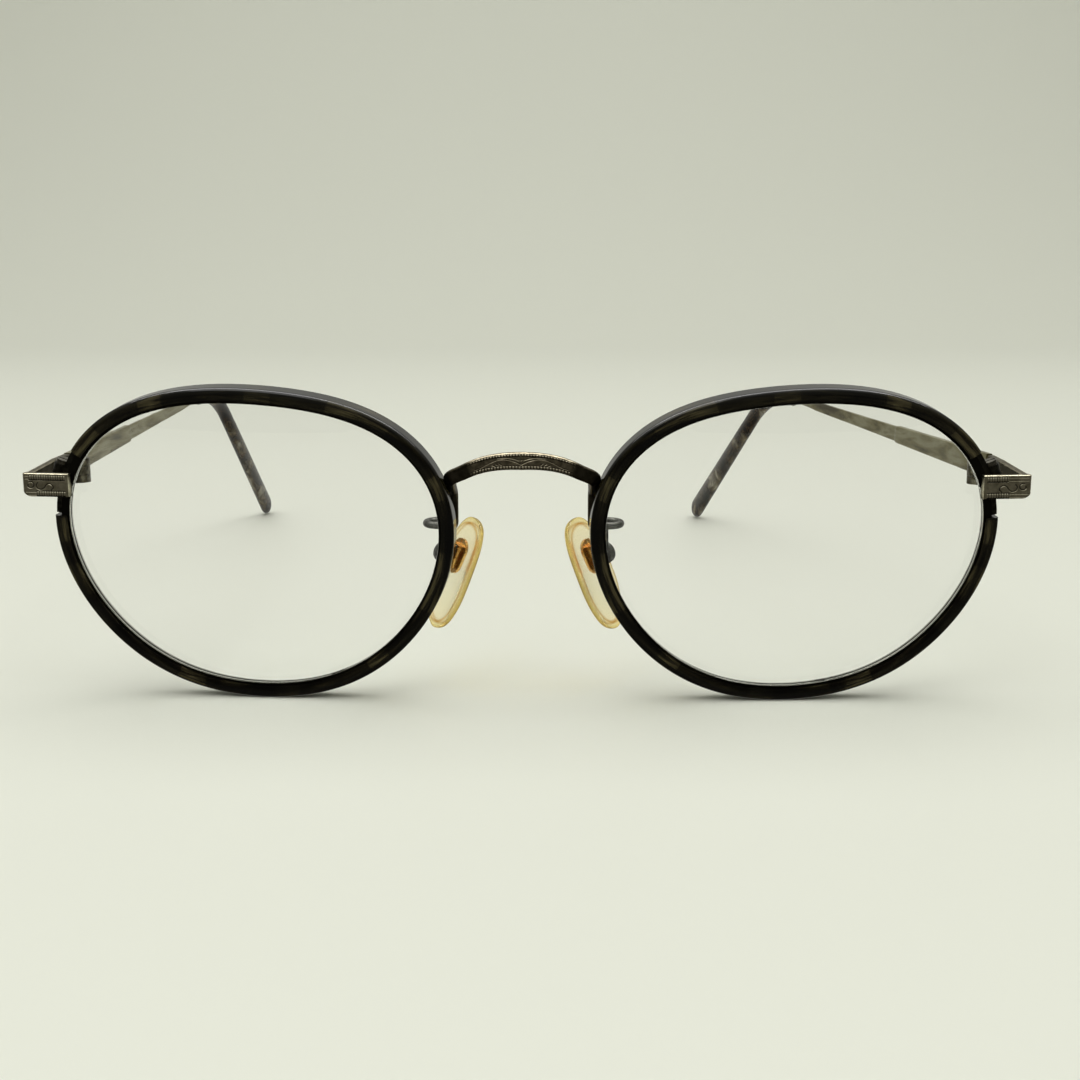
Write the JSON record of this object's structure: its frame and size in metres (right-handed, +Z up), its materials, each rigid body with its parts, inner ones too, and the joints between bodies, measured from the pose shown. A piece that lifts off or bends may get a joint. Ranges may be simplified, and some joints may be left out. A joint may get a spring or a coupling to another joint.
{
  "type": "eyeglasses frame",
  "caption": "Round-oval metal eyeglasses frame with acetate-covered rims, engraved bridge and end pieces, rocking nose pads, clear lenses and folding temples.",
  "frame": {"origin": "on the table, in the mid plane, under the front face of the rims at the height of the lens centres", "axes": "+X to the wearer's left, +Y from the front to the temple tips, +Z up"},
  "size_m": [0.1314, 0.1411, 0.042],
  "materials": {
    "bridge_metal": "antique, engraved",
    "antique_metal": "antique, engraved",
    "temple_metal": "antique, hatched",
    "bright_wire": "satin",
    "dark_metal": "dark antique",
    "screw_steel": "turned",
    "gilt_core": "gilt",
    "rim_acetate": "polished, marbled",
    "tip_acetate": "polished, marbled",
    "pad_silicone": "translucent amber",
    "demo_lens": "clear"
  },
  "bodies": {
    "front": {"bridge": "bridge_metal", "left_eye_wire": "bright_wire", "left_rim_cover": "rim_acetate", "left_lens": "demo_lens", "left_closing_block_upper": "dark_metal", "left_closing_block_lower": "dark_metal", "left_rim_screw": "screw_steel", "left_end_piece": "antique_metal", "left_front_hinge": "antique_metal", "left_hinge_screw": "screw_steel", "left_pad_box": "dark_metal", "left_pad_screw": "screw_steel", "left_pad_arm": "dark_metal", "right_eye_wire": "bright_wire", "right_rim_cover": "rim_acetate", "right_lens": "demo_lens", "right_closing_block_upper": "dark_metal", "right_closing_block_lower": "dark_metal", "right_rim_screw": "screw_steel", "right_end_piece": "antique_metal", "right_front_hinge": "antique_metal", "right_hinge_screw": "screw_steel", "right_pad_box": "dark_metal", "right_pad_screw": "screw_steel", "right_pad_arm": "dark_metal"},
    "left_temple": {"left_temple": "temple_metal", "left_temple_hinge": "antique_metal", "left_temple_tip": "tip_acetate"},
    "left_pad": {"left_nose_pad": "pad_silicone", "left_pad_core": "gilt_core"},
    "right_temple": {"right_temple": "temple_metal", "right_temple_hinge": "antique_metal", "right_temple_tip": "tip_acetate"},
    "right_pad": {"right_nose_pad": "pad_silicone", "right_pad_core": "gilt_core"}
  },
  "joints": [
    {"name": "left_temple_hinge_pin", "type": "hinge", "parent": "front", "child": "left_temple", "pos_m": [0.061, 0.01406, 0.02933], "axis": [0, 0, 1], "range_deg": [-13.7, 71.3]},
    {"name": "right_temple_hinge_pin", "type": "hinge", "parent": "front", "child": "right_temple", "pos_m": [-0.061, 0.01406, 0.02933], "axis": [0, 0, -1], "range_deg": [0, 90]},
    {"name": "left_pad_rock", "type": "hinge", "parent": "front", "child": "left_pad", "pos_m": [0.01037, 0.0091, 0.01869], "axis": [0.528, 0.8192, 0.2241], "range_deg": [-8, 8]},
    {"name": "right_pad_rock", "type": "hinge", "parent": "front", "child": "right_pad", "pos_m": [-0.01037, 0.0091, 0.01869], "axis": [-0.528, 0.8192, 0.2241], "range_deg": [-8, 8]}
  ]
}
